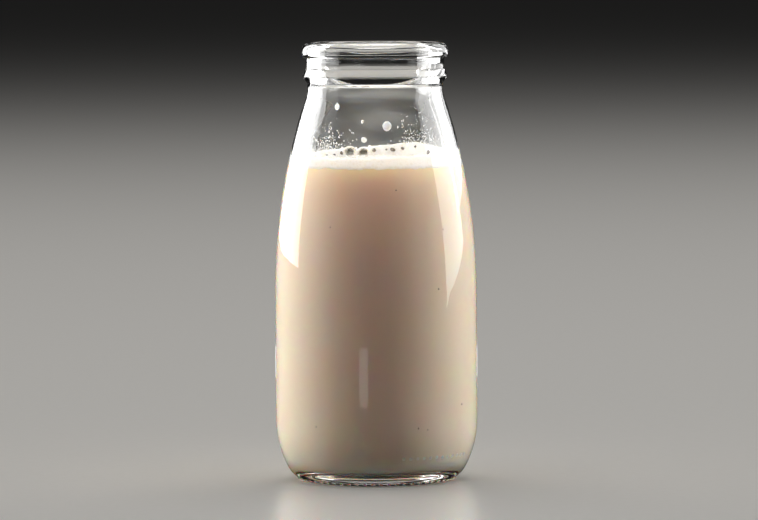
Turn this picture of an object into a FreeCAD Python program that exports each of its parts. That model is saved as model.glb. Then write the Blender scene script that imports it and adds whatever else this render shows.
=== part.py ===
import FreeCAD, Part
import math
import os
import random

# A quarter-litre dairy bottle of clear moulded glass, filled with milk under a layer of froth.
# Millimetres, +Z up. The origin is the centre of the ring that the bottle stands on.
# The glass is round about Z, so it is one outline turned about that axis, and so is the space inside it.
# The milk and the froth are parts of that same space, so they meet the glass face to face.

# The glass, outside
HEIGHT = 135.4
BODY_RADIUS = 31.2
FOOT_RADIUS = 23.1  # outer edge of the flat ring that the bottle stands on
FOOT_WIDTH = 2.6
FOOT_SLOPE = 25.5  # degrees above level, where the heel leaves the foot
HEEL_LEAN = 26.65  # degrees off upright, where the tight heel curve meets the wide one
HEEL_CURVE = 10.2
LOWER_BODY_CURVE = 31.6
SHOULDER_HEIGHT = 88.35  # where the straight side and the sloping shoulder would meet
SHOULDER_LEAN = 17.9  # degrees off upright, at the steepest part
SHOULDER_CURVE = 194.0
NECK_RADIUS = 20.87
NECK_CURVE = 15.0
PUSH_UP = 2.2  # depth of the hollow under the base
PUSH_UP_ROUND = 1.2

# The finish: a ring-shaped bead, a groove, and the rolled lip
BEAD_HEIGHT = 124.9
BEAD_RADIUS = 22.45
BEAD_BELOW = 2.15
BEAD_ABOVE = 2.4
BEAD_ROUND = 0.75
GROOVE_RADIUS = 21.4
ROOT_ROUND = 0.5
LIP_RADIUS = 22.62
LIP_HEIGHT = 4.75
LIP_SLOPE = 0.6  # how far its underside rises from root to edge
LIP_LOWER_ROUND = 1.0
LIP_OUTER_ROUND = 2.7
LIP_INNER_ROUND = 1.5

# The glass, inside
BORE_RADIUS = 18.2
SIDE_WALL = 2.7
FLOOR_HEIGHT = 4.4
FLOOR_RADIUS = 24.4
FLOOR_CROWN = 1.2  # how much higher the floor is in its middle
FLOOR_CROWN_CURVE = 150.0
FLOOR_EDGE_CURVE = 5.4
INNER_HEEL_HEIGHT = 12.0
INNER_HEEL_CURVE = 19.5

# Small round beads along the edge of the foot, and a row of plain raised pips low on the side
FOOT_BEADS = 60
FOOT_BEAD_RADIUS = 0.8
FOOT_BEAD_CLEARANCE = 0.05
PIPS = 12
PIP_RADIUS = 1.0
PIP_PROUD = 0.3
PIP_HEIGHT = 8.8
FIRST_PIP_ANGLE = -74.0  # degrees from +X, where -90 is the front
PIP_SPACING_ANGLE = 4.4

# The contents
MILK_LEVEL = 98.2
FROTH_MIDDLE = 1.4  # thickness of the froth out in the middle
FROTH_AT_WALL = 3.0
FROTH_EDGE_WIDTH = 1.6
FROTH_RISE_WIDTH = 3.2  # width over which the froth climbs to its thick edge
FROTH_LEAN = 2.6  # degrees by which the thick edge is tilted
FROTH_HIGH_SIDE = 55.0  # degrees from +X, where the edge stands highest
EDGE_BUBBLES = 26
EDGE_BUBBLE_SIZES = (0.8, 1.3)
EDGE_BUBBLE_SHARES = (0.3, 0.8)  # how much of its radius a bubble's centre lies below the edge
RAFT_BUBBLES = 14
RAFT_BUBBLE_SIZES = (0.8, 1.6)
RAFT_BUBBLE_SHARE = 0.4
BUBBLE_SHIFT = 0.3  # of the space between two edge bubbles
BUBBLE_SEED = 7

AXIS = FreeCAD.Vector(0, 0, 1)
ORIGIN = FreeCAD.Vector(0, 0, 0)
SMALLEST_EDGE = 1e-5
PAST_MOUTH = 5.0  # how far the space that is cut out of the glass runs past the lip


def tangent(degrees):
    return math.tan(math.radians(degrees))


def rounded_outline(corners):
    """Edges in the XZ plane through (radius, height, rounding) corners, each rounded by a tangent arc."""
    points = [FreeCAD.Vector(radius, 0, height) for radius, height, _ in corners]
    edges = []
    pen = points[0]
    for before, corner, after, (_, _, rounding) in zip(points, points[1:], points[2:], corners[1:]):
        back = (before - corner).normalize()
        onward = (after - corner).normalize()
        half_angle = back.getAngle(onward) / 2
        reach = rounding / math.tan(half_angle)
        start = corner + back * reach
        if start.distanceToPoint(pen) > SMALLEST_EDGE:
            edges.append(Part.makeLine(pen, start))
        pen = corner + onward * reach
        if rounding:
            inward = (back + onward).normalize()
            middle = corner + inward * (rounding / math.sin(half_angle) - rounding)
            edges.append(Part.Arc(start, middle, pen).toShape())
    edges.append(Part.makeLine(pen, points[-1]))
    return edges


def turned(corners):
    """The solid made by turning an outline, which starts and ends on the axis, about Z."""
    edges = rounded_outline(corners)
    bottom = FreeCAD.Vector(0, 0, corners[0][1])
    top = FreeCAD.Vector(0, 0, corners[-1][1])
    edges.append(Part.makeLine(top, bottom))
    return Part.Face(Part.Wire(edges)).revolve(ORIGIN, AXIS, 360)


def around(radius, degrees, height):
    """The point at a radius and height, that many degrees round from +X."""
    angle = math.radians(degrees)
    return FreeCAD.Vector(radius * math.cos(angle), radius * math.sin(angle), height)


def radius_on_curve(side_radius, curve, distance):
    """The radius at a distance up or down from where the straight side turns into a large curve."""
    return side_radius - curve + math.sqrt(curve**2 - distance**2)


def shoulder_corners(inset):
    """The corners of the side and the neck on an outline that lies that far inside the outer one."""
    drop = inset * tangent(SHOULDER_LEAN / 2)
    side_radius = BODY_RADIUS - inset
    neck_radius = BORE_RADIUS if inset else NECK_RADIUS
    rise = (side_radius - neck_radius) / tangent(SHOULDER_LEAN)
    return [
        (side_radius, SHOULDER_HEIGHT - drop, SHOULDER_CURVE - inset),
        (neck_radius, SHOULDER_HEIGHT - drop + rise, NECK_CURVE + inset),
    ]


def heel_corners():
    """The corners of the outline from the foot to the straight side."""
    reach = HEEL_CURVE * tangent((90 - FOOT_SLOPE - HEEL_LEAN) / 2)
    toe_radius = FOOT_RADIUS + reach * math.cos(math.radians(FOOT_SLOPE))
    toe_height = reach * math.sin(math.radians(FOOT_SLOPE))
    side_height = toe_height + (BODY_RADIUS - toe_radius) / tangent(HEEL_LEAN)
    return [
        (FOOT_RADIUS, 0, 0),
        (toe_radius, toe_height, HEEL_CURVE),
        (BODY_RADIUS, side_height, LOWER_BODY_CURVE),
    ]


def finish_corners():
    """The corners of the outline from the bead to the crown of the lip."""
    lip_bottom = HEIGHT - LIP_HEIGHT
    return [
        (NECK_RADIUS, BEAD_HEIGHT - BEAD_BELOW, ROOT_ROUND),
        (BEAD_RADIUS, BEAD_HEIGHT, BEAD_ROUND),
        (GROOVE_RADIUS, BEAD_HEIGHT + BEAD_ABOVE, ROOT_ROUND),
        (GROOVE_RADIUS, lip_bottom, ROOT_ROUND / 2),
        (LIP_RADIUS, lip_bottom + LIP_SLOPE, LIP_LOWER_ROUND),
        (LIP_RADIUS, HEIGHT, LIP_OUTER_ROUND),
    ]


def glass_outside():
    """The bottle as if it were solid glass, with the hollow under its base."""
    ring_inside = FOOT_RADIUS - FOOT_WIDTH
    base = [(0, PUSH_UP, 0), (ring_inside - PUSH_UP, PUSH_UP, PUSH_UP_ROUND), (ring_inside, 0, 0)]
    return turned(base + heel_corners() + shoulder_corners(0) + finish_corners() + [(0, HEIGHT, 0)])


def inside(top):
    """The space inside the glass, up to a height."""
    floor = [
        (0, FLOOR_HEIGHT + FLOOR_CROWN, 0),
        (FLOOR_RADIUS / 2, FLOOR_HEIGHT + FLOOR_CROWN, FLOOR_CROWN_CURVE),
        (FLOOR_RADIUS, FLOOR_HEIGHT, FLOOR_EDGE_CURVE),
        (BODY_RADIUS - SIDE_WALL, INNER_HEEL_HEIGHT, INNER_HEEL_CURVE),
    ]
    mouth_height = HEIGHT + PAST_MOUTH
    mouth = [(BORE_RADIUS, mouth_height, 0), (0, mouth_height, 0)]
    space = turned(floor + shoulder_corners(SIDE_WALL) + mouth)
    above = Part.makeCylinder(BODY_RADIUS, HEIGHT, around(0, 0, top), AXIS)
    return space.cut(above)


def lip_rounding():
    """The ring cut away from the lip's inner edge, so that its crown rolls into the bore."""
    crown_radius = BORE_RADIUS + LIP_INNER_ROUND
    clear_height = HEIGHT + PAST_MOUTH
    block = Part.makeCylinder(crown_radius, PAST_MOUTH + LIP_INNER_ROUND, around(0, 0, HEIGHT - LIP_INNER_ROUND))
    roll = Part.makeTorus(crown_radius, LIP_INNER_ROUND, around(0, 0, HEIGHT - LIP_INNER_ROUND), AXIS)
    kept = Part.makeCylinder(BORE_RADIUS, clear_height, ORIGIN)
    return block.cut([roll, kept])


def foot_beads():
    """The ring of small round beads at the outer edge of the foot."""
    radius = FOOT_RADIUS + FOOT_BEAD_RADIUS
    height = FOOT_BEAD_RADIUS + FOOT_BEAD_CLEARANCE
    angles = [360 * (index + 0.5) / FOOT_BEADS for index in range(FOOT_BEADS)]
    return [Part.makeSphere(FOOT_BEAD_RADIUS, around(radius, angle, height)) for angle in angles]


def side_pips():
    """A short row of plain raised pips, low on the side."""
    side_height = heel_corners()[-1][1]
    curve_top = side_height + LOWER_BODY_CURVE * tangent(HEEL_LEAN / 2)
    surface = radius_on_curve(BODY_RADIUS, LOWER_BODY_CURVE, curve_top - PIP_HEIGHT)
    radius = surface + PIP_PROUD - PIP_RADIUS
    angles = [FIRST_PIP_ANGLE + PIP_SPACING_ANGLE * index for index in range(PIPS)]
    return [Part.makeSphere(PIP_RADIUS, around(radius, angle, PIP_HEIGHT)) for angle in angles]


def bottle():
    glass = glass_outside().fuse(foot_beads() + side_pips())
    return glass.cut([inside(HEIGHT + PAST_MOUTH), lip_rounding()])


def milk():
    return inside(MILK_LEVEL)


def froth_bubbles(wall_radius):
    """Domes of bubbles: a crowded ring of them along the glass, and a loose raft further in."""
    chance = random.Random(BUBBLE_SEED)
    edge = []
    for index in range(EDGE_BUBBLES):
        size = chance.uniform(*EDGE_BUBBLE_SIZES)
        angle = 360 * (index + chance.uniform(-BUBBLE_SHIFT, BUBBLE_SHIFT)) / EDGE_BUBBLES
        height = MILK_LEVEL + FROTH_AT_WALL - size * chance.uniform(*EDGE_BUBBLE_SHARES)
        edge.append(Part.makeSphere(size, around(wall_radius - size, angle, height)))
    raft = []
    raft_radius = wall_radius - FROTH_EDGE_WIDTH - FROTH_RISE_WIDTH
    for _ in range(RAFT_BUBBLES):
        size = chance.uniform(*RAFT_BUBBLE_SIZES)
        distance = raft_radius * math.sqrt(chance.random())
        height = MILK_LEVEL + FROTH_MIDDLE - size * RAFT_BUBBLE_SHARE
        raft.append(Part.makeSphere(size, around(distance, chance.uniform(0, 360), height)))
    return edge, raft


def froth():
    """The froth on the milk: thin in the middle, with a thick edge that climbs the glass and leans."""
    top = MILK_LEVEL + FROTH_AT_WALL
    middle_top = MILK_LEVEL + FROTH_MIDDLE
    curve_start = SHOULDER_HEIGHT - SHOULDER_CURVE * tangent(SHOULDER_LEAN / 2)
    wall_radius = radius_on_curve(BODY_RADIUS - SIDE_WALL, SHOULDER_CURVE - SIDE_WALL, top - curve_start)
    edge_radius = wall_radius - FROTH_EDGE_WIDTH
    rise_radius = edge_radius - FROTH_RISE_WIDTH
    ring = [
        (rise_radius, 0, 0),
        (BODY_RADIUS, 0, 0),
        (BODY_RADIUS, top, 0),
        (edge_radius, top, FROTH_EDGE_WIDTH),
        (rise_radius, middle_top, FROTH_RISE_WIDTH),
        (0, middle_top, 0),
    ]
    edge_bubbles, raft_bubbles = froth_bubbles(wall_radius)
    edge = turned([(0, 0, 0)] + ring).fuse(edge_bubbles)
    edge.rotate(around(0, 0, MILK_LEVEL), around(1, FROTH_HIGH_SIDE - 90, 0), FROTH_LEAN)
    hollow = Part.makeCylinder(rise_radius - FROTH_RISE_WIDTH / 2, HEIGHT, ORIGIN)
    middle = Part.makeCylinder(rise_radius, middle_top, ORIGIN)
    heap = edge.cut(hollow).fuse([middle] + raft_bubbles)
    return heap.common(inside(HEIGHT)).cut(milk())


def main():
    os.makedirs("parts", exist_ok=True)
    nodes = {"bottle": bottle(), "milk": milk(), "froth": froth()}
    for name, shape in nodes.items():
        shape.exportStep(f"parts/{name}.step")
        print(name, len(shape.Solids), "solid, valid", shape.isValid(), round(shape.Volume / 1000, 2), "cm3")
    print("brimful", round(inside(HEIGHT).Volume / 1000, 1), "cm3")
    print("froth top", round(nodes["froth"].BoundBox.ZMax, 2))


main()
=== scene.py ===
import math
import random

import bmesh
import bpy
from mathutils import Matrix, Vector, kdtree, noise


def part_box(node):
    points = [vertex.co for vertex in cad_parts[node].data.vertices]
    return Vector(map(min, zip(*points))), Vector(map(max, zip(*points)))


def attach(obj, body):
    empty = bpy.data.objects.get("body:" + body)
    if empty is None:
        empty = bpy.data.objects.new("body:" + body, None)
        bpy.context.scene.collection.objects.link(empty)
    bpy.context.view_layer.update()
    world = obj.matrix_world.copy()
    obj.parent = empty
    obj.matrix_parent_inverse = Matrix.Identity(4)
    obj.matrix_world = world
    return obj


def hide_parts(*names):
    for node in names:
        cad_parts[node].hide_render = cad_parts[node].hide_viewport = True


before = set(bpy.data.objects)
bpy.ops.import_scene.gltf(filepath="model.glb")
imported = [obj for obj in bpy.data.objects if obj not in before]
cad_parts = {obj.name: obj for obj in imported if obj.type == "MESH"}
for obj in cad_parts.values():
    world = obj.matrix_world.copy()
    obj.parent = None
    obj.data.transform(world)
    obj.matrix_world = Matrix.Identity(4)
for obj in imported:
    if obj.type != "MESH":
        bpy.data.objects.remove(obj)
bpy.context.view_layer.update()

# ---------------------------------------------------------------------------------------------------------
# The camera. A long lens stands a metre and a half away, a little above the lip and tipped down, as for
# table-top product pictures, so that the bottle is seen almost square on.
MM = 0.001
CAMERA_DISTANCE = 1.565
CAMERA_HEIGHT = 0.1637
CAMERA_ASIDE = 0.00097
CAMERA_TIP = 3.5  # degrees down
CAMERA_ROLL = -0.3  # degrees
SENSOR_WIDTH = 36
FOCAL_LENGTH = 240.5

camera = bpy.data.objects.new("camera", bpy.data.cameras.new("camera"))
camera.data.sensor_width = SENSOR_WIDTH
camera.data.lens = FOCAL_LENGTH
camera.data.clip_end = 100
bpy.context.scene.collection.objects.link(camera)
bpy.context.scene.camera = camera
tip = Matrix.Rotation(math.radians(90 - CAMERA_TIP), 4, "X")
roll = Matrix.Rotation(math.radians(CAMERA_ROLL), 4, "Z")
camera.matrix_world = Matrix.Translation((CAMERA_ASIDE, -CAMERA_DISTANCE, CAMERA_HEIGHT)) @ tip @ roll

# ---------------------------------------------------------------------------------------------------------
# The bottle. One piece of clear soda-lime glass, blown in a mould: a flat ring to stand on round a hollow
# underside, a rounded heel, a straight side, a long sloping shoulder, then a bead, a groove and a rolled
# lip. Sizes are in millimetres. Outside and inside are one outline, drawn from axis to axis and turned
# about Z.
bottle_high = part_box("bottle")[1]
froth_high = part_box("froth")[1]
BODY_RADIUS = bottle_high.x / MM
HEIGHT = bottle_high.z / MM
FOOT_RADIUS = 23.1
FOOT_WIDTH = 2.6
FOOT_ROUND = 1.2
FOOT_SLOPE = 25.5  # degrees
HEEL_LEAN = 26.65  # degrees
HEEL_CURVE = 9.4
LOWER_BODY_CURVE = 31.6
LOWER_BODY_CORNER = 5  # its place among the corners of the outside
SHOULDER_HEIGHT = 88.35
SHOULDER_LEAN = 17.9  # degrees
SHOULDER_CURVE = 194.0
NECK_RADIUS = 20.87
NECK_CURVE = 15.0
PUSH_UP = 2.2
PUSH_UP_ROUND = 1.2
BEAD_HEIGHT = 124.9
BEAD_RADIUS = 22.45
BEAD_BELOW = 2.15
BEAD_ABOVE = 2.4
BEAD_ROUND = 0.75
GROOVE_RADIUS = 21.4
ROOT_ROUND = 0.5
LIP_RADIUS = 22.62
LIP_HEIGHT = 4.75
LIP_SLOPE = 0.6
LIP_LOWER_ROUND = 1.0
LIP_OUTER_ROUND = 2.7
LIP_INNER_ROUND = 1.5
BORE_RADIUS = 18.2
SIDE_WALL = 2.7
FLOOR_HEIGHT = 4.4
FLOOR_RADIUS = 24.4
FLOOR_CROWN = 1.2
FLOOR_CROWN_CURVE = 150.0
FLOOR_EDGE_CURVE = 5.4
INNER_HEEL_HEIGHT = 12.0
INNER_HEEL_CURVE = 19.5
OUTLINE_STEP = 1.3  # longest edge along an arc
STRAIGHT_STEP = 1.5  # how much longer the edges may be on straight runs
ARC_STEP = 11.0  # degrees, the most that one edge of an arc turns
TOUCHING = 1e-7  # metres, under which two points are one
TURN_STEPS = 180
FOOT_BEADS = 60
FOOT_BEAD_RADIUS = 0.8
FOOT_BEAD_CLEARANCE = 0.05
FOOT_BEAD_SPREAD = 0.85
PIPS = 12
PIP_PROUD = 0.45
PIP_SPREAD = 0.9
PIP_ROUGHNESS = 0.35
PIP_HEIGHT = 8.8
FIRST_PIP_ANGLE = -74.0  # degrees from +X, where -90 is the front
PIP_SPACING_ANGLE = 4.4
DOME_MARGIN = 1.6  # how far round a bead or pip the faces are divided, in spreads
DOME_CUTS = 6  # how finely the faces are divided where beads and pips rise
WALL_WAVE = 0.08  # how uneven the inside of the wall is
WAVE_LENGTH = 7.0
WAVE_FADE = 5.0  # height over which the waves set in above the drink
RIPPLE_LENGTH = 14.3  # of the waves that the mould leaves on the outside
RIPPLE_HEIGHT = 0.4
HAZE_PATCH = 4.2  # width of the slightly duller patches


def tangent(degrees):
    return math.tan(math.radians(degrees))


def straight_to(bm, pen, place):
    """The chain's last vertex is extruded to a place, unless it is there already."""
    if (place - pen.co).length < TOUCHING:
        return pen
    made = bmesh.ops.extrude_vert_indiv(bm, verts=[pen])
    bmesh.ops.translate(bm, verts=made["verts"], vec=place - pen.co)
    return made["verts"][0]


def draw_outline(bm, corners):
    """A chain of edges in the XZ plane through (radius, height, rounding) corners. An arc is made by
    spinning the chain's last vertex."""
    places = [Vector((radius, 0, height)) * MM for radius, height, _ in corners]
    pen = bm.verts.new(places[0])
    for before, corner, after, (_, _, rounding) in zip(places, places[1:], places[2:], corners[1:]):
        back = (before - corner).normalized()
        onward = (after - corner).normalized()
        half = back.angle(onward) / 2
        pen = straight_to(bm, pen, corner + back * (rounding * MM / math.tan(half)))
        if rounding:
            centre = corner + (back + onward).normalized() * (rounding * MM / math.sin(half))
            turn = math.pi - 2 * half
            steps = math.ceil(max(turn * rounding / OUTLINE_STEP, math.degrees(turn) / ARC_STEP))
            axis = onward.cross(back).normalized()
            made = bmesh.ops.spin(bm, geom=[pen], cent=centre, axis=axis, angle=turn, steps=steps)
            pen = made["geom_last"][0]
    straight_to(bm, pen, places[-1])
    long_edges = [edge for edge in bm.edges if edge.calc_length() > 2 * OUTLINE_STEP * MM]
    for edge in long_edges:
        cuts = int(edge.calc_length() / MM / OUTLINE_STEP / STRAIGHT_STEP)
        bmesh.ops.subdivide_edges(bm, edges=[edge], cuts=cuts)


def turn_outline(bm, steps=TURN_STEPS):
    """The chain is spun a full turn about Z, and its poles are closed."""
    chain = bm.verts[:] + bm.edges[:]
    bmesh.ops.spin(bm, geom=chain, axis=(0, 0, 1), angle=math.tau, steps=steps, use_merge=True)
    bmesh.ops.remove_doubles(bm, verts=bm.verts[:], dist=TOUCHING)
    bmesh.ops.recalc_face_normals(bm, faces=bm.faces[:])


def make_piece(bm, name, material):
    """The mesh becomes a smooth-shaded piece that rides on the bottle."""
    for face in bm.faces:
        face.smooth = True
    mesh = bpy.data.meshes.new(name)
    bm.to_mesh(mesh)
    bm.free()
    piece = bpy.data.objects.new(name, mesh)
    bpy.context.scene.collection.objects.link(piece)
    mesh.materials.append(material)
    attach(piece, "root")
    return piece


def linear(colour):
    """An sRGB hex colour as linear red, green, blue and full alpha."""
    parts = [int(colour[index:index + 2], 16) / 255 for index in (1, 3, 5)]
    return [p / 12.92 if p <= 0.04045 else ((p + 0.055) / 1.055) ** 2.4 for p in parts] + [1.0]


def add_node(tree, kind, inputs=(), **settings):
    """Adds a shader node. Each input is a value, or an output socket of another node to link."""
    made = tree.nodes.new("ShaderNode" + kind)
    for name, value in settings.items():
        setattr(made, name, value)
    for name, value in dict(inputs).items():
        if isinstance(value, bpy.types.NodeSocket):
            tree.links.new(value, made.inputs[name])
        else:
            made.inputs[name].default_value = value
    return made


def new_material(name):
    """An empty node material, and the place on the piece that its patterns are laid out by."""
    material = bpy.data.materials.new(name)
    material.use_nodes = True
    material.node_tree.nodes.clear()
    place = add_node(material.node_tree, "TexCoord").outputs["Object"]
    return material, material.node_tree, place


def shoulder_corners(inset):
    """The two corners of the shoulder, that far inside the glass's outside."""
    drop = inset * tangent(SHOULDER_LEAN / 2)
    side_radius = BODY_RADIUS - inset
    neck_radius = BORE_RADIUS + (SIDE_WALL - inset) if inset else NECK_RADIUS
    rise = (side_radius - neck_radius) / tangent(SHOULDER_LEAN)
    return [
        (side_radius, SHOULDER_HEIGHT - drop, SHOULDER_CURVE - inset),
        (neck_radius, SHOULDER_HEIGHT - drop + rise, NECK_CURVE + inset),
    ]


def outside_corners():
    """From the middle of the hollow underside, round the foot and up to the crown of the lip."""
    ring_inside = FOOT_RADIUS - FOOT_WIDTH
    reach = HEEL_CURVE * tangent((90 - FOOT_SLOPE - HEEL_LEAN) / 2) + FOOT_ROUND * tangent(FOOT_SLOPE / 2)
    toe_radius = FOOT_RADIUS + reach * math.cos(math.radians(FOOT_SLOPE))
    toe_height = reach * math.sin(math.radians(FOOT_SLOPE))
    side_height = toe_height + (BODY_RADIUS - toe_radius) / tangent(HEEL_LEAN)
    lip_bottom = HEIGHT - LIP_HEIGHT
    return [
        (0, PUSH_UP, 0),
        (ring_inside - PUSH_UP, PUSH_UP, PUSH_UP_ROUND),
        (ring_inside, 0, FOOT_ROUND / 2),
        (FOOT_RADIUS, 0, FOOT_ROUND),
        (toe_radius, toe_height, HEEL_CURVE),
        (BODY_RADIUS, side_height, LOWER_BODY_CURVE),
        *shoulder_corners(0),
        (NECK_RADIUS, BEAD_HEIGHT - BEAD_BELOW, ROOT_ROUND),
        (BEAD_RADIUS, BEAD_HEIGHT, BEAD_ROUND),
        (GROOVE_RADIUS, BEAD_HEIGHT + BEAD_ABOVE, ROOT_ROUND),
        (GROOVE_RADIUS, lip_bottom, ROOT_ROUND / 2),
        (LIP_RADIUS, lip_bottom + LIP_SLOPE, LIP_LOWER_ROUND),
        (LIP_RADIUS, HEIGHT, LIP_OUTER_ROUND),
    ]


def inside_corners(reach=0):
    """From the middle of the floor up to the neck. A reach draws it that far into the glass."""
    return [
        (0, FLOOR_HEIGHT + FLOOR_CROWN - reach, 0),
        (FLOOR_RADIUS / 2, FLOOR_HEIGHT + FLOOR_CROWN - reach, FLOOR_CROWN_CURVE),
        (FLOOR_RADIUS + reach, FLOOR_HEIGHT - reach, FLOOR_EDGE_CURVE),
        (BODY_RADIUS - SIDE_WALL + reach, INNER_HEEL_HEIGHT - reach, INNER_HEEL_CURVE),
        *shoulder_corners(SIDE_WALL - reach),
    ]


def shoulder_radius_at(height, inset):
    """The radius of the shoulder or neck at a height, that far inside the glass's outside."""
    start = SHOULDER_HEIGHT - SHOULDER_CURVE * tangent(SHOULDER_LEAN / 2)
    curve = SHOULDER_CURVE - inset
    shoulder = BODY_RADIUS - inset - curve + math.sqrt(curve**2 - (height - start) ** 2)
    return max(shoulder, BORE_RADIUS + SIDE_WALL - inset)


def move_out(vertex, distance):
    """The vertex moves straight away from the axis, by a distance in millimetres."""
    radius = math.hypot(vertex.co.x, vertex.co.y) / MM
    vertex.co.x *= 1 + distance / radius
    vertex.co.y *= 1 + distance / radius


def uneven_inside(bm, above):
    """The inside of the wall waves a little above the drink, as blown glass does."""
    for vertex in bm.verts:
        radius = math.hypot(vertex.co.x, vertex.co.y) / MM
        height = vertex.co.z / MM
        inner = shoulder_radius_at(height, SIDE_WALL) + SIDE_WALL / 2
        if radius < inner and above < height < HEIGHT - LIP_INNER_ROUND:
            share = min(1.0, (height - above) / WAVE_FADE)
            move_out(vertex, noise.noise(vertex.co / MM / WAVE_LENGTH) * WALL_WAVE * share)


def around(radius, degrees, height):
    """The point at a radius and height, that many degrees round from +X, in metres."""
    angle = math.radians(degrees)
    return Vector((radius * math.cos(angle), radius * math.sin(angle), height)) * MM


def lower_body_top():
    """The height at which the curve above the heel runs into the straight side."""
    return outside_corners()[LOWER_BODY_CORNER][1] + LOWER_BODY_CURVE * tangent(HEEL_LEAN / 2)


def lower_body_radius_at(height):
    """The radius of the curve between the heel and the straight side, at a height."""
    below = lower_body_top() - height
    return BODY_RADIUS - LOWER_BODY_CURVE + math.sqrt(LOWER_BODY_CURVE**2 - below**2)


def raise_domes(bm, places, lean, spread, rise):
    """Low domes rise out of the glass. Its faces there are divided, and pushed out along the dome's axis."""
    near = kdtree.KDTree(len(places))
    for index, place in enumerate(places):
        near.insert(place, index)
    near.balance()
    reach = DOME_MARGIN * spread * MM
    faces = [face for face in bm.faces if near.find(face.calc_center_median())[2] < reach]
    edges = list({edge for face in faces for edge in face.edges})
    made = bmesh.ops.subdivide_edges(bm, edges=edges, cuts=DOME_CUTS, use_grid_fill=True)
    divided = {item for item in made["geom"] if isinstance(item, bmesh.types.BMVert)}
    for vertex in divided:  # above the foot, the new points are moved out to the true curve
        if vertex.co.z > PIP_HEIGHT * MM / 2:
            true_radius = lower_body_radius_at(vertex.co.z / MM) * MM
            scale = true_radius / math.hypot(vertex.co.x, vertex.co.y)
            vertex.co.x *= scale
            vertex.co.y *= scale
    for vertex in bm.verts:
        place = near.find(vertex.co)[0]
        if (vertex.co - place).length < reach:
            level = Vector((place.x, place.y, 0)).normalized()
            axis = level * math.cos(math.radians(lean)) - Vector((0, 0, math.sin(math.radians(lean))))
            aside = (vertex.co - place) - axis * (vertex.co - place).dot(axis)
            share = aside.length / (spread * MM)
            if share < 1:
                vertex.co += axis * (rise * MM * (1 - share**2) ** 2)


def pip_etching(tree, place):
    """The roughness of the pips, which keep the matt face of the engraved mould. It is none elsewhere."""
    spacing = math.radians(PIP_SPACING_ANGLE)
    parts = add_node(tree, "SeparateXYZ", {"Vector": place})
    bearing = add_node(tree, "Math", {0: parts.outputs["Y"], 1: parts.outputs["X"]}, operation="ARCTAN2")
    turns = add_node(
        tree,
        "Math",
        {0: bearing.outputs["Value"], 1: 1 / spacing, 2: -FIRST_PIP_ANGLE / PIP_SPACING_ANGLE},
        operation="MULTIPLY_ADD",
    )
    row = {0: turns.outputs["Value"], 1: (PIPS - 1) / 2, 2: PIPS / 2}
    in_row = add_node(tree, "Math", row, operation="COMPARE")
    share = add_node(tree, "Math", {0: turns.outputs["Value"], 1: 0.5}, operation="PINGPONG")
    pitch = spacing * lower_body_radius_at(PIP_HEIGHT) * MM
    across = add_node(tree, "Math", {0: share.outputs["Value"], 1: pitch}, operation="MULTIPLY")
    up = add_node(tree, "Math", {0: parts.outputs["Z"], 1: PIP_HEIGHT * MM}, operation="SUBTRACT")
    offset = add_node(tree, "CombineXYZ", {"X": across.outputs["Value"], "Y": up.outputs["Value"]})
    distance = add_node(tree, "VectorMath", {0: offset.outputs["Vector"]}, operation="LENGTH")
    matt = add_node(
        tree,
        "MapRange",
        {
            "Value": distance.outputs["Value"],
            "From Min": PIP_SPREAD * MM / 2,
            "From Max": PIP_SPREAD * MM,
            "To Min": PIP_ROUGHNESS,
            "To Max": 0.0,
        },
    )
    roughness = {0: matt.outputs["Result"], 1: in_row.outputs["Value"]}
    return add_node(tree, "Math", roughness, operation="MULTIPLY").outputs["Value"]


def clear_glass():
    """Soda-lime container glass: colourless, very smooth, with the faint ripple that a mould leaves. Light
    that makes shadows goes straight through it, so that it lights the drink."""
    material, tree, place = new_material("clear_glass")
    waves = {"Vector": place, "Scale": 1 / (RIPPLE_LENGTH * MM), "Detail": 2.0}
    ripple = add_node(tree, "TexNoise", waves)
    relief = {"Height": ripple.outputs["Fac"], "Strength": 0.15, "Distance": RIPPLE_HEIGHT * MM}
    bump = add_node(tree, "Bump", relief)
    patches = {"Vector": place, "Scale": 1 / (HAZE_PATCH * MM), "Detail": 3.0}
    haze = add_node(tree, "TexNoise", patches)
    polish = add_node(
        tree,
        "MapRange",
        {"Value": haze.outputs["Fac"], "From Min": 0.4, "From Max": 0.8, "To Min": 0.0, "To Max": 0.03},
    )
    etched = pip_etching(tree, place)
    rough = add_node(tree, "Math", {0: etched, 1: polish.outputs["Result"]}, operation="ADD")
    glass = add_node(
        tree,
        "BsdfPrincipled",
        {
            "Base Color": linear("#FDFDFC"),
            "Roughness": rough.outputs["Value"],
            "IOR": 1.52,
            "Transmission Weight": 1.0,
            "Normal": bump.outputs["Normal"],
        },
    )
    clear = add_node(tree, "BsdfTransparent", {"Color": linear("#F7F8F7")})
    ray = add_node(tree, "LightPath")
    both = add_node(tree, "MixShader", {0: ray.outputs["Is Shadow Ray"]})
    tree.links.new(glass.outputs["BSDF"], both.inputs[1])
    tree.links.new(clear.outputs["BSDF"], both.inputs[2])
    add_node(tree, "OutputMaterial", {"Surface": both.outputs["Shader"]})
    return material


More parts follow.
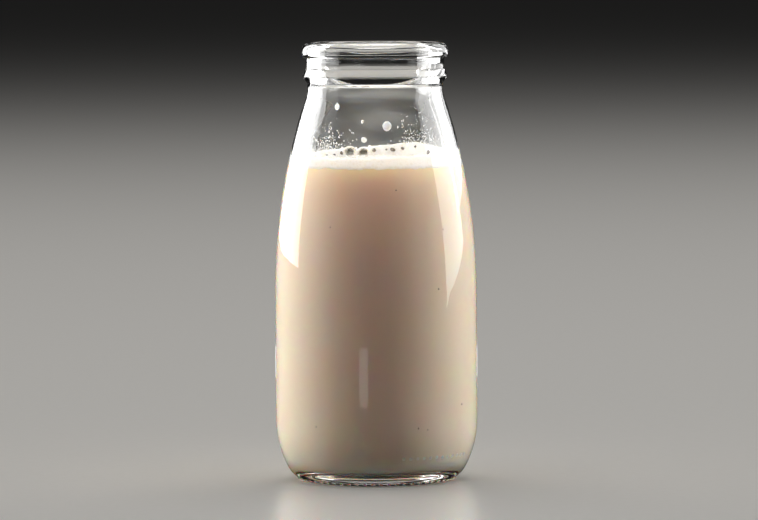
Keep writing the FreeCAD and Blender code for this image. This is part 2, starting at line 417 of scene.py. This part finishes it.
glass_mesh = bmesh.new()
mouth = (BORE_RADIUS, HEIGHT, LIP_INNER_ROUND)
draw_outline(glass_mesh, outside_corners() + [mouth] + inside_corners()[::-1])
turn_outline(glass_mesh)
uneven_inside(glass_mesh, froth_high.z / MM)
slope = math.radians(FOOT_SLOPE)
bead_height = FOOT_BEAD_RADIUS + FOOT_BEAD_CLEARANCE
along = FOOT_BEAD_RADIUS * math.cos(slope) + bead_height * math.sin(slope)
bead_rise = FOOT_BEAD_RADIUS - bead_height * math.cos(slope) + FOOT_BEAD_RADIUS * math.sin(slope)
bead_angles = [360 * (index + 0.5) / FOOT_BEADS for index in range(FOOT_BEADS)]
bead_radius = FOOT_RADIUS + along * math.cos(slope)
bead_places = [around(bead_radius, angle, along * math.sin(slope)) for angle in bead_angles]
raise_domes(glass_mesh, bead_places, 90 - FOOT_SLOPE, FOOT_BEAD_SPREAD, bead_rise)
pip_angles = [FIRST_PIP_ANGLE + PIP_SPACING_ANGLE * index for index in range(PIPS)]
pip_radius = lower_body_radius_at(PIP_HEIGHT)
pip_places = [around(pip_radius, angle, PIP_HEIGHT) for angle in pip_angles]
raise_domes(glass_mesh, pip_places, 0, PIP_SPREAD, PIP_PROUD)
bottle = make_piece(glass_mesh, "glass_bottle", clear_glass())
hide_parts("bottle")

# ---------------------------------------------------------------------------------------------------------
# The milk. Whole milk fills the glass to the shoulder. It reaches a little into the wall, so that no gap
# shows, and light goes some way into it before it scatters back, which warms its shaded front.
MILK_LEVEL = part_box("milk")[1].z / MM
MILK_REACH = 0.2
MILK_IN_GLASS_IOR = 1.35 / 1.52
CREAM_PATCH = 22.2  # width of its slightly creamier clouds
LIGHT_REACH = 17.0  # how far red light goes in it


def whole_milk():
    """Whole milk: an opaque warm white, through which red light travels further than blue. It is seen from
    inside the glass, whose light it turns back wherever that strikes it very obliquely."""
    material, tree, place = new_material("whole_milk")
    clouds = {"Vector": place, "Scale": 1 / (CREAM_PATCH * MM), "Detail": 3.0}
    cloud = add_node(tree, "TexNoise", clouds)
    cream = add_node(tree, "ValToRGB", {"Fac": cloud.outputs["Fac"]})
    cream.color_ramp.elements[0].color = linear("#F3E5D1")
    cream.color_ramp.elements[1].color = linear("#F6E9D8")
    milk = add_node(
        tree,
        "BsdfPrincipled",
        {
            "Base Color": cream.outputs["Color"],
            "Specular IOR Level": 0.0,
            "Subsurface Weight": 1.0,
            "Subsurface Radius": (1.0, 0.5, 0.2),
            "Subsurface Scale": LIGHT_REACH * MM,
        },
    )
    wet = add_node(tree, "BsdfGlossy", {"Roughness": 0.03})
    oblique = add_node(tree, "Fresnel", {"IOR": MILK_IN_GLASS_IOR})
    both = add_node(tree, "MixShader", {0: oblique.outputs["Fac"]})
    tree.links.new(milk.outputs["BSDF"], both.inputs[1])
    tree.links.new(wet.outputs["BSDF"], both.inputs[2])
    add_node(tree, "OutputMaterial", {"Surface": both.outputs["Shader"]})
    return material


milk_mesh = bmesh.new()
draw_outline(milk_mesh, inside_corners(MILK_REACH) + [(BORE_RADIUS, HEIGHT, 0)])
turn_outline(milk_mesh)
whole = milk_mesh.verts[:] + milk_mesh.edges[:] + milk_mesh.faces[:]
cut = bmesh.ops.bisect_plane(
    milk_mesh, geom=whole, plane_co=(0, 0, MILK_LEVEL * MM), plane_no=(0, 0, 1), clear_outer=True
)
surface_edges = [item for item in cut["geom_cut"] if isinstance(item, bmesh.types.BMEdge)]
bmesh.ops.contextual_create(milk_mesh, geom=surface_edges)
bmesh.ops.recalc_face_normals(milk_mesh, faces=milk_mesh.faces[:])
milk = make_piece(milk_mesh, "milk_fill", whole_milk())
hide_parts("milk")

# ---------------------------------------------------------------------------------------------------------
# The froth. A layer of foam lies on the milk, thin in the middle and climbing the glass at its edge, thicker
# on the far side. Two large clear bubbles stand in its far edge and leave a gap in it.
FROTH_MIDDLE = 1.4
FROTH_AT_WALL = 3.0
FROTH_EDGE_WIDTH = 1.6
FROTH_RISE_WIDTH = 3.2
FROTH_REACH = 0.25
FROTH_SKIRT = 0.8  # how far its skin hangs down over the milk, on average
FROTH_ROOT = 2.0  # how far its underside, which the milk hides, is below the hem
FROTH_ROOT_INSET = 0.9
FROTH_WALL_POINT = 1.0  # height over the milk at which its outline follows the curve of the wall
FROTH_TILT = 1.2  # how much thicker the edge is on the far side
FROTH_THICK_SIDE = 55.0  # degrees from +X
FROTH_HEAP = 1.2  # a heap on the far side, over the tilt
FROTH_HEAP_SIDE = 58.0  # degrees from +X
FROTH_HEAP_WIDTH = 20.0  # degrees
FROTH_LUMPS = 0.35
FROTH_LUMP_RATE = 5.0  # how quickly the lumps change round the edge
FROTH_GRAIN = 1.7  # width of the small lumps on top
FROTH_GRAIN_HEIGHT = 0.3
FROTH_TURN_STEPS = 320
FROTH_TOP_START = 0.5  # height over the milk above which its outside is lumpy
HEM_NEARNESS = 0.2  # how near the wall a point of the hem is
HEM_DROP = 0.35
HEM_WAVE = 0.6
HEM_WAVE_LENGTH = 1.9
LARGE_BUBBLES = (
    (111.0, 100.55, 1.8, 1.4),
    (99.5, 100.2, 1.8, 1.4),
)  # the clear ones in the far edge: degrees from +X, height, half width, half height
BUBBLE_GAP = 1.3  # how far in the gap before them reaches, in widths of the edge
FINE_BUBBLE = 1.0  # width of the cells in the foam, drawn coarser than they are so that they show
CELL_DEPTH = 0.2
FOAM_LIGHT_REACH = 1.2
wall_radius = shoulder_radius_at(MILK_LEVEL + FROTH_AT_WALL, SIDE_WALL)
edge_radius = wall_radius - FROTH_EDGE_WIDTH
hem_height = MILK_LEVEL - FROTH_SKIRT


def milk_froth():
    """Milk foam: white, matt, and made of fine cells whose walls are brighter than their middles."""
    material, tree, place = new_material("milk_froth")
    cells = add_node(
        tree,
        "TexVoronoi",
        {"Vector": place, "Scale": 1 / (FINE_BUBBLE * MM), "Randomness": 1.0},
        feature="DISTANCE_TO_EDGE",
    )
    walls = add_node(tree, "ValToRGB", {"Fac": cells.outputs["Distance"]})
    walls.color_ramp.elements[0].position = 0.02
    walls.color_ramp.elements[0].color = linear("#FFFDF8")
    walls.color_ramp.elements[1].position = 0.35
    walls.color_ramp.elements[1].color = linear("#FAF5EC")
    depth = {"Height": cells.outputs["Distance"], "Strength": 0.5, "Distance": CELL_DEPTH * MM}
    relief = add_node(tree, "Bump", depth)
    foam = add_node(
        tree,
        "BsdfPrincipled",
        {
            "Base Color": walls.outputs["Color"],
            "Roughness": 0.45,
            "IOR": 1.33,
            "Specular IOR Level": 0.3,
            "Subsurface Weight": 1.0,
            "Subsurface Radius": (1.0, 0.9, 0.75),
            "Subsurface Scale": FOAM_LIGHT_REACH * MM,
            "Normal": relief.outputs["Normal"],
        },
    )
    add_node(tree, "OutputMaterial", {"Surface": foam.outputs["BSDF"]})
    return material


def turned_apart(one, other):
    """Degrees between two directions."""
    return abs((one - other + 180) % 360 - 180)


def froth_edge_rise(degrees):
    """How much the froth's edge stands above its usual height in that direction."""
    lean = FROTH_TILT * math.cos(math.radians(degrees - FROTH_THICK_SIDE))
    heap = FROTH_HEAP * math.exp(-((turned_apart(degrees, FROTH_HEAP_SIDE) / FROTH_HEAP_WIDTH) ** 2))
    angle = math.radians(degrees)
    lumps = noise.noise(Vector((math.cos(angle), math.sin(angle), 0)) * FROTH_LUMP_RATE) * FROTH_LUMPS
    return lean + heap + lumps


def froth_climb(degrees):
    """How much the froth's edge stands above its middle in that direction."""
    return FROTH_AT_WALL - FROTH_MIDDLE + froth_edge_rise(degrees)


def gap_bottom(place):
    """The height that the froth comes down to before the clear bubbles, or None where there are none."""
    for degrees, height, half_width, half_height in LARGE_BUBBLES:
        share = (place.x - around(wall_radius, degrees, 0).x) / MM / half_width
        if place.y > 0 and abs(share) < 1:
            return height - half_height * math.sqrt(1 - share**2)
    return None


def shape_froth(bm):
    """The turned layer is made uneven: lumps on top, a wavy lower hem, and notches for the clear bubbles."""
    for vertex in bm.verts:
        radius = math.hypot(vertex.co.x, vertex.co.y) / MM
        height = vertex.co.z / MM
        degrees = math.degrees(math.atan2(vertex.co.y, vertex.co.x))
        if height > MILK_LEVEL + FROTH_TOP_START:
            share = (height - MILK_LEVEL - FROTH_MIDDLE) / (FROTH_AT_WALL - FROTH_MIDDLE)
            top = height + froth_edge_rise(degrees) * max(0.0, min(1.0, share))
            top += noise.noise(vertex.co / MM / FROTH_GRAIN) * FROTH_GRAIN_HEIGHT
            bottom = gap_bottom(vertex.co)
            gap_width = BUBBLE_GAP * (FROTH_EDGE_WIDTH + FROTH_RISE_WIDTH)
            if bottom is not None and radius > wall_radius - gap_width:
                top = min(top, bottom)
            vertex.co.z = top * MM
        elif radius > wall_radius - HEM_NEARNESS:
            along = Vector((vertex.co.x, vertex.co.y, 0)) / MM / HEM_WAVE_LENGTH
            drop = HEM_DROP + HEM_WAVE * noise.noise(along)
            lower_radius = shoulder_radius_at(height - drop, SIDE_WALL)
            move_out(vertex, lower_radius - shoulder_radius_at(height, SIDE_WALL))
            vertex.co.z -= drop * MM


froth_material = milk_froth()
froth_mesh = bmesh.new()
hem_radius = shoulder_radius_at(hem_height, SIDE_WALL - FROTH_REACH)
wall_point = MILK_LEVEL + FROTH_WALL_POINT
draw_outline(
    froth_mesh,
    [
        (0, hem_height - FROTH_ROOT, 0),
        (hem_radius - FROTH_ROOT_INSET, hem_height - FROTH_ROOT, 0),
        (hem_radius, hem_height, 0),
        (shoulder_radius_at(wall_point, SIDE_WALL - FROTH_REACH), wall_point, 0),
        (wall_radius + FROTH_REACH, MILK_LEVEL + FROTH_AT_WALL, 0),
        (edge_radius, MILK_LEVEL + FROTH_AT_WALL, FROTH_EDGE_WIDTH),
        (edge_radius - FROTH_RISE_WIDTH, MILK_LEVEL + FROTH_MIDDLE, FROTH_RISE_WIDTH),
        (0, MILK_LEVEL + FROTH_MIDDLE, 0),
    ],
)
bmesh.ops.subdivide_edges(froth_mesh, edges=froth_mesh.edges[:], cuts=1)
turn_outline(froth_mesh, FROTH_TURN_STEPS)
shape_froth(froth_mesh)
froth = make_piece(froth_mesh, "froth_layer", froth_material)
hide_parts("froth")

# ---------------------------------------------------------------------------------------------------------
# The bubbles. Films of milk blown by the pour: two large clear ones at the glass, each in a border of froth,
# some smaller ones in the froth's far edge, whose dimness is painted shade, and hundreds of tiny ones and
# beads of foam all over it.
SMALL_BUBBLES = 520
SMALL_BUBBLE_SIZES = (0.25, 1.0)
SMALL_BUBBLE_SINK = 0.2  # this and the next four are shares of the piece's own size
SMALL_BUBBLE_TALL = 0.85
LARGE_BUBBLE_INSET = 0.9
FROTH_BEAD_SINK = 0.3
FROTH_BEAD_TALL = 0.8
FURTHER_IN = 8.0  # how far in from the wall small bubbles may lie before the gap
FILM_THICKNESS = 0.06
FILM_STREAK = 1.1  # width of the streaks in a film
FILM_SWIRL = 0.67
FILM_RELIEF = 0.1
BORDER_THICKNESS = 0.26
BORDER_LUMPS = 0.12
BORDER_LUMP_LENGTH = 1.25
BORDER_INSET = 0.7  # in thicknesses
BORDER_SEGMENTS = 10
BORDER_STEPS = 40
FROTH_BEADS = 700
FROTH_BEAD_SIZES = (0.12, 0.5)
SHADED_BUBBLE_DEPTH = 0.5
SHADED_BUBBLE_ROOM = 1.6  # how far the beads keep from them
SHADED_BUBBLES = (
    (143.0, 99.9, 0.4, 0.35, 0),
    (133.5, 99.9, 0.4, 0.4, 0),
    (123.4, 100.3, 0.55, 0.75, 0),
    (91.0, 100.9, 0.6, 0.8, 0),
    (73.5, 101.1, 1.1, 0.6, 35),
    (64.5, 101.6, 0.7, 0.45, 20),
    (31.0, 100.6, 0.7, 1.0, 0),
    (52.0, 102.3, 0.35, 0.35, 0),
    (80.0, 101.3, 0.35, 0.3, 0),
)  # the smaller bubbles of the far edge: degrees from +X, height, half width, half height, degrees of slant


def bubble_film():
    """A film of milky water: clear, with a bright reflection round its rim."""
    material, tree, place = new_material("bubble_film")
    lines = {"Vector": place, "Scale": 1 / (FILM_STREAK * MM), "Detail": 2.0}
    streaks = add_node(tree, "TexNoise", lines)
    depth = {"Height": streaks.outputs["Fac"], "Strength": 0.1, "Distance": FILM_RELIEF * MM}
    relief = add_node(tree, "Bump", depth)
    film = add_node(
        tree,
        "BsdfPrincipled",
        {
            "Base Color": linear("#FBF8F2"),
            "Roughness": 0.05,
            "IOR": 1.33,
            "Transmission Weight": 1.0,
            "Normal": relief.outputs["Normal"],
        },
    )
    add_node(tree, "OutputMaterial", {"Surface": film.outputs["BSDF"]})
    return material


def ball_template(detail):
    """A ball of radius one, to be placed many times."""
    bm = bmesh.new()
    bmesh.ops.create_icosphere(bm, subdivisions=detail, radius=1.0)
    template = bpy.data.meshes.new("ball")
    bm.to_mesh(template)
    bm.free()
    return template


BALLS = {detail: ball_template(detail) for detail in (1, 2, 3, 4)}


def add_ball(bm, place, half_sizes, degrees=0.0, detail=2, slant=0.0, inward=False):
    """An egg of given half sizes (out, across and up) that faces that way. Inward turns its faces inside
    out."""
    turn = Matrix.Rotation(math.radians(degrees), 4, "Z") @ Matrix.Rotation(math.radians(slant), 4, "X")
    flip = -1 if inward else 1
    sizes = Matrix.Diagonal((half_sizes[0] * MM * flip, half_sizes[1] * MM, half_sizes[2] * MM, 1.0))
    ball = BALLS[detail].copy()
    ball.transform(Matrix.Translation(place) @ turn @ sizes)
    bm.from_mesh(ball)
    bpy.data.meshes.remove(ball)


def add_border(bm, degrees, height, half_width, half_height):
    """A ring of froth round a clear bubble, at the glass: a small circle, spun about the radius."""
    thickness = BORDER_THICKNESS * half_width**0.5
    top = Vector((0, 0, half_height + thickness / 2)) * MM
    section = Matrix.Translation(top) @ Matrix.Rotation(math.pi / 2, 4, "X")
    made = bmesh.ops.create_circle(bm, segments=BORDER_SEGMENTS, radius=thickness * MM, matrix=section)
    edges = list({edge for vertex in made["verts"] for edge in vertex.link_edges})
    before = set(bm.verts) - set(made["verts"])
    spun = made["verts"] + edges
    bmesh.ops.spin(bm, geom=spun, axis=(1, 0, 0), angle=math.tau, steps=BORDER_STEPS, use_merge=True)
    ring = [vertex for vertex in bm.verts if vertex not in before]
    for vertex in ring:
        vertex.co.y *= half_width / half_height
        lumps = noise.noise(vertex.co / MM / BORDER_LUMP_LENGTH + Vector((degrees, 0, 0)))
        vertex.co *= 1 + BORDER_LUMPS * lumps
    place = around(shoulder_radius_at(height, SIDE_WALL) - thickness * BORDER_INSET, degrees, height)
    turn = Matrix.Rotation(math.radians(degrees), 4, "Z")
    bmesh.ops.transform(bm, matrix=Matrix.Translation(place) @ turn, verts=ring)


def froth_slope_place(degrees, height):
    """Where the inner slope of the froth's edge is at that height."""
    share = (height - MILK_LEVEL - FROTH_MIDDLE) / froth_climb(degrees)
    inward = FROTH_EDGE_WIDTH + FROTH_RISE_WIDTH * (1 - max(0.0, min(1.0, share)))
    return around(wall_radius - inward, degrees, height)


def painted_shade_film():
    """A bubble of milky water, opaque and wet, with painted shade: its grey brown stands in for the dim
    inside of the bottle, which doesn't show through it.
    """
    material, tree, place = new_material("painted_shade_bubble_film")
    swirls = {"Vector": place, "Scale": 1 / (FILM_SWIRL * MM), "Detail": 2.0, "Distortion": 1.0}
    swirl = add_node(tree, "TexNoise", swirls)
    shade = add_node(tree, "ValToRGB", {"Fac": swirl.outputs["Fac"]})
    # Painted shade: darker and lighter grey brown in swirls, for the dim inside seen through a bubble.
    shade.color_ramp.elements[0].position = 0.35
    shade.color_ramp.elements[0].color = linear("#5E5851")
    shade.color_ramp.elements[1].position = 0.65
    shade.color_ramp.elements[1].color = linear("#8C857C")
    film = add_node(
        tree, "BsdfPrincipled", {"Base Color": shade.outputs["Color"], "Roughness": 0.12, "IOR": 1.33}
    )
    add_node(tree, "OutputMaterial", {"Surface": film.outputs["BSDF"]})
    return material


chance = random.Random(11)


def mostly_small(sizes, power):
    """A random size between two. The higher the power, the fewer are large."""
    return sizes[0] + (sizes[1] - sizes[0]) * chance.random() ** power


film_material = bubble_film()
large_mesh = bmesh.new()
border_mesh = bmesh.new()
for degrees, height, half_width, half_height in LARGE_BUBBLES:
    radius = shoulder_radius_at(height, SIDE_WALL) - half_width * LARGE_BUBBLE_INSET
    place = around(radius, degrees, height)
    add_ball(large_mesh, place, (half_width, half_width, half_height), degrees, 4)
    inner_sizes = [size - FILM_THICKNESS for size in (half_width, half_width, half_height)]
    add_ball(large_mesh, place, inner_sizes, degrees, 4, inward=True)
    add_border(border_mesh, degrees, height, half_width, half_height)
make_piece(large_mesh, "large_bubbles", film_material)
border = make_piece(border_mesh, "bubble_borders", froth_material)

# The smaller bubbles of the far edge are opaque domes painted with shade, not clear films.
shaded_mesh = bmesh.new()
for degrees, height, half_width, half_height, slant in SHADED_BUBBLES:
    half_sizes = (SHADED_BUBBLE_DEPTH, half_width, half_height)
    add_ball(shaded_mesh, froth_slope_place(degrees, height), half_sizes, degrees, 3, slant)
shaded = make_piece(shaded_mesh, "painted_shade_bubbles", painted_shade_film())

crest_mesh = bmesh.new()
for _ in range(FROTH_BEADS):
    size = mostly_small(FROTH_BEAD_SIZES, 2)
    degrees = chance.uniform(0, 360)
    inward = chance.random() ** 2 * (FROTH_EDGE_WIDTH + FROTH_RISE_WIDTH)
    share = max(0.0, 1 - inward / (FROTH_EDGE_WIDTH + FROTH_RISE_WIDTH))
    height = MILK_LEVEL + FROTH_MIDDLE + share * froth_climb(degrees)
    radius = shoulder_radius_at(height, SIDE_WALL) - size - inward
    place = around(radius, degrees, height - size * FROTH_BEAD_SINK)
    gaps = [(place - froth_slope_place(*bubble[:2])).length / MM for bubble in SHADED_BUBBLES]
    if gap_bottom(place) is None and min(gaps) >= SHADED_BUBBLE_ROOM:
        add_ball(crest_mesh, place, (size, size, size * FROTH_BEAD_TALL))
crest = make_piece(crest_mesh, "froth_beads", froth_material)

small_mesh = bmesh.new()
for _ in range(SMALL_BUBBLES):
    size = mostly_small(SMALL_BUBBLE_SIZES, 3)
    distance = (wall_radius - size) * math.sqrt(chance.random())
    degrees = chance.uniform(0, 360)
    climb = max(0.0, (distance - edge_radius + FROTH_RISE_WIDTH) / FROTH_RISE_WIDTH)
    share = min(1.0, climb) ** 2
    height = MILK_LEVEL + FROTH_MIDDLE + share * froth_climb(degrees)
    place = around(distance, degrees, height - size * SMALL_BUBBLE_SINK)
    if gap_bottom(place) is None or distance < wall_radius - FURTHER_IN:
        add_ball(small_mesh, place, (size, size, size * SMALL_BUBBLE_TALL))
small = make_piece(small_mesh, "small_bubbles", film_material)

# ---------------------------------------------------------------------------------------------------------
# The drops and specks. Milk that has splashed up inside the shoulder: four round drops, and specks in
# clusters.
DROPS = (
    (-80.5, 109.9, 1.3, 1.5),
    (129.6, 115.1, 0.9, 0.95),
    (101.6, 110.0, 0.42, 0.62),
    (99.4, 104.1, 0.95, 0.85),
)  # degrees from +X, height, half width, half height
DROP_THICKNESS = 0.45
DROP_SINK = 0.12
SPECK_CLUSTERS = (
    (48.0, 13.0, 300),
    (136.0, 11.0, 280),
    (-40.0, 18.0, 30),
    (-135.0, 18.0, 30),
)  # degrees from +X, spread in degrees, number
SPECK_SIZES = (0.07, 0.2)
SPECK_THICKNESS = 0.6  # this and the next two are shares of the speck's own size
SPECK_LENGTHS = (0.8, 1.6)
SPECK_SINK = 0.3
SPECK_CLIMB = 2.8  # how high above the froth they reach on average
SPECK_TOP = HEIGHT - 18

splash_mesh = bmesh.new()
for degrees, height, half_width, half_height in DROPS:
    radius = shoulder_radius_at(height, SIDE_WALL) - DROP_THICKNESS + DROP_SINK
    half_sizes = (DROP_THICKNESS, half_width, half_height)
    add_ball(splash_mesh, around(radius, degrees, height), half_sizes, degrees, 3)
for middle, spread, count in SPECK_CLUSTERS:
    for _ in range(count):
        degrees = chance.gauss(middle, spread)
        height = MILK_LEVEL + FROTH_AT_WALL + froth_edge_rise(degrees) + chance.expovariate(1 / SPECK_CLIMB)
        size = chance.uniform(*SPECK_SIZES)
        if height > SPECK_TOP:
            continue
        place = around(shoulder_radius_at(height, SIDE_WALL) - size * SPECK_SINK, degrees, height)
        half_sizes = (size * SPECK_THICKNESS, size, size * chance.uniform(*SPECK_LENGTHS))
        add_ball(splash_mesh, place, half_sizes, degrees, 1)
make_piece(splash_mesh, "splashed_drops", froth_material)

# ---------------------------------------------------------------------------------------------------------
# The seeds. Grains of grit from the furnace, caught in the glass as it was blown: each is a dark fleck
# under half a millimetre across, just under the surface.
SEEDS = (
    (-77.0, 90.8),
    (-118.0, 79.6),
    (-46.0, 78.5),
    (-51.5, 60.5),
    (-32.0, 24.5),
    (-127.0, 18.5),
    (-65.5, 18.2),
    (-59.5, 17.6),
)  # those at the front: degrees from +X, height
BACK_SEEDS = 12
BACK_SEED_HEIGHTS = (12, 95)
SEED_SIZE = 0.2  # half of its width, before the two shares below
SEED_SIZE_RANGE = (0.7, 1.2)
SEED_SHAPE = (0.7, 1.0, 1.2)
SEED_DEPTH = 0.8
GRIT_GRAIN = 0.25


def trapped_grit():
    """Grit from the furnace, melted into the glass: dark brown and uneven."""
    material, tree, place = new_material("trapped_grit")
    grain = add_node(tree, "TexNoise", {"Vector": place, "Scale": 1 / (GRIT_GRAIN * MM), "Detail": 2.0})
    shade = add_node(tree, "ValToRGB", {"Fac": grain.outputs["Fac"]})
    shade.color_ramp.elements[0].color = linear("#3A2E24")
    shade.color_ramp.elements[1].color = linear("#5C4B3C")
    grit = add_node(tree, "BsdfPrincipled", {"Base Color": shade.outputs["Color"], "Roughness": 0.5})
    add_node(tree, "OutputMaterial", {"Surface": grit.outputs["BSDF"]})
    return material


def side_radius_at(height):
    """The radius of the glass's outside anywhere between the heel and the neck."""
    if height > SHOULDER_HEIGHT - SHOULDER_CURVE * tangent(SHOULDER_LEAN / 2):
        return shoulder_radius_at(height, 0)
    return lower_body_radius_at(min(height, lower_body_top()))


seed_mesh = bmesh.new()
back_seeds = [(chance.uniform(0, 180), chance.uniform(*BACK_SEED_HEIGHTS)) for _ in range(BACK_SEEDS)]
for degrees, height in SEEDS + tuple(back_seeds):
    size = SEED_SIZE * chance.uniform(*SEED_SIZE_RANGE)
    place = around(side_radius_at(height) - SEED_DEPTH, degrees, height)
    add_ball(seed_mesh, place, [size * share for share in SEED_SHAPE], degrees, 2)
make_piece(seed_mesh, "glass_seeds", trapped_grit())

# ---------------------------------------------------------------------------------------------------------
# The stage. A pale floor, and soft boxes. Most of them stand a little behind the bottle on both sides, so
# that their light goes round and through the milk. Some lights reach only the floor or only the froth.
FLOOR_REACH = 40.0
PAPER_TOOTH = 3.3
RIGHT_BOX_LEAN = 12.0  # degrees


def pale_floor():
    """Seamless paper, a warm off-white with a fine tooth, drawn coarser than it is so that it shows. It
    throws no light back up at the bottle."""
    material, tree, place = new_material("pale_paper")
    tooth = add_node(tree, "TexNoise", {"Vector": place, "Scale": 1 / (PAPER_TOOTH * MM), "Detail": 2.0})
    shade = add_node(tree, "ValToRGB", {"Fac": tooth.outputs["Fac"]})
    shade.color_ramp.elements[0].color = linear("#DEDBD5")
    shade.color_ramp.elements[1].color = linear("#E4E1DC")
    paper = add_node(tree, "BsdfPrincipled", {"Base Color": shade.outputs["Color"], "Roughness": 0.28})
    black = add_node(tree, "BsdfDiffuse", {"Color": linear("#000000")})
    ray = add_node(tree, "LightPath")
    both = add_node(tree, "MixShader", {0: ray.outputs["Diffuse Depth"]})
    tree.links.new(paper.outputs["BSDF"], both.inputs[1])
    tree.links.new(black.outputs["BSDF"], both.inputs[2])
    add_node(tree, "OutputMaterial", {"Surface": both.outputs["Shader"]})
    return material


floor_mesh = bmesh.new()
bmesh.ops.create_grid(floor_mesh, x_segments=1, y_segments=1, size=FLOOR_REACH)
floor_data = bpy.data.meshes.new("floor")
floor_mesh.to_mesh(floor_data)
floor_mesh.free()
floor_data.materials.append(pale_floor())
floor = bpy.data.objects.new("floor", floor_data)
bpy.context.scene.collection.objects.link(floor)
floor.visible_glossy = False


def light_panel(name, place, width, height, power, colour="#FFFFFF"):
    """A rectangular light. Place is a matrix, whose -Z is the way that it faces."""
    lamp = bpy.data.lights.new(name, "AREA")
    lamp.shape = "RECTANGLE"
    lamp.size = width
    lamp.size_y = height
    lamp.energy = power
    lamp.color = linear(colour)[:3]
    panel = bpy.data.objects.new(name, lamp)
    panel.matrix_world = place
    bpy.context.scene.collection.objects.link(panel)
    panel.visible_camera = False
    return panel


def soft_box(name, azimuth, distance, low, high, width, power, lean=0.0, colour="#FFFFFF", mirrored=True):
    """An upright light that faces the bottle. Azimuth is degrees right of the camera. One that isn't
    mirrored lights the bottle but doesn't show on the glass."""
    angle = math.radians(azimuth)
    place = Vector((math.sin(angle) * distance, -math.cos(angle) * distance, (low + high) / 2))
    facing = Vector((-place.x, -place.y, 0)).to_track_quat("-Z", "Y").to_matrix().to_4x4()
    turn = facing @ Matrix.Rotation(math.radians(lean), 4, "Z")
    box = light_panel(name, Matrix.Translation(place) @ turn, width, high - low, power, colour)
    box.visible_glossy = mirrored
    return box


def light_group(name, pieces, left_out=False):
    """The only pieces that a light reaches, or those that it leaves out."""
    group = bpy.data.collections.new(name)
    for index, piece in enumerate(pieces):
        group.objects.link(piece)
        if left_out:
            group.collection_objects[index].light_linking.link_state = "EXCLUDE"
    return group


# Each box: azimuth, distance, lower edge, upper edge, width (in metres) and power.
boxes = [
    soft_box("left_soft_box", -126, 0.45, 0.066, 0.45, 0.47, 2.9),
    soft_box("left_front_box", -84, 0.45, 0.066, 0.45, 0.2, 0.36, mirrored=False),
    soft_box("left_low_box", -115, 0.45, 0.001, 0.06, 0.3, 0.5, mirrored=False),
    soft_box("right_low_box", 95, 0.45, 0.001, 0.05, 0.3, 0.16, mirrored=False),
    soft_box("right_soft_box", 99, 0.45, 0.05, 0.45, 0.3, 1.35, RIGHT_BOX_LEAN),
    soft_box("right_back_box", 134, 0.45, 0.12, 0.45, 0.32, 0.9),
    soft_box("front_strip", -14, 0.3, 0.0005, 0.021, 0.05, 0.004),
    soft_box("low_back_strip", 180, 0.35, 0.002, 0.014, 0.16, 0.02),
]
top_box = light_panel("top_soft_box", Matrix.Translation((0, 0.2, 0.85)), 0.4, 0.4, 1.9)
froth_fill = soft_box("froth_fill", 0, 1.2, 0.3, 1.1, 0.8, 13.0, colour="#FFE8D6")
floor_panel = light_panel("floor_panel", Matrix.Translation((0, 0.4, 2.4)), 3.6, 3.6, 78.0)

but_floor = light_group("all_but_floor", [floor], left_out=True)
for box in boxes:
    box.light_linking.receiver_collection = but_floor
but_froth = light_group("all_but_floor_and_froth", [floor, froth, crest, border], left_out=True)
top_box.light_linking.receiver_collection = but_froth
froth_only = light_group("froth_only", [froth, crest, border, shaded])
froth_fill.light_linking.receiver_collection = froth_only
floor_panel.light_linking.receiver_collection = light_group("floor_only", [floor])
for piece in (froth, crest, border, small):
    piece.visible_shadow = False

world = bpy.data.worlds.new("world")
bpy.context.scene.world = world
world.use_nodes = True
world.node_tree.nodes["Background"].inputs["Color"].default_value = linear("#FFFFFF")
world.node_tree.nodes["Background"].inputs["Strength"].default_value = 0.012
bpy.context.scene.view_settings.view_transform = "Standard"
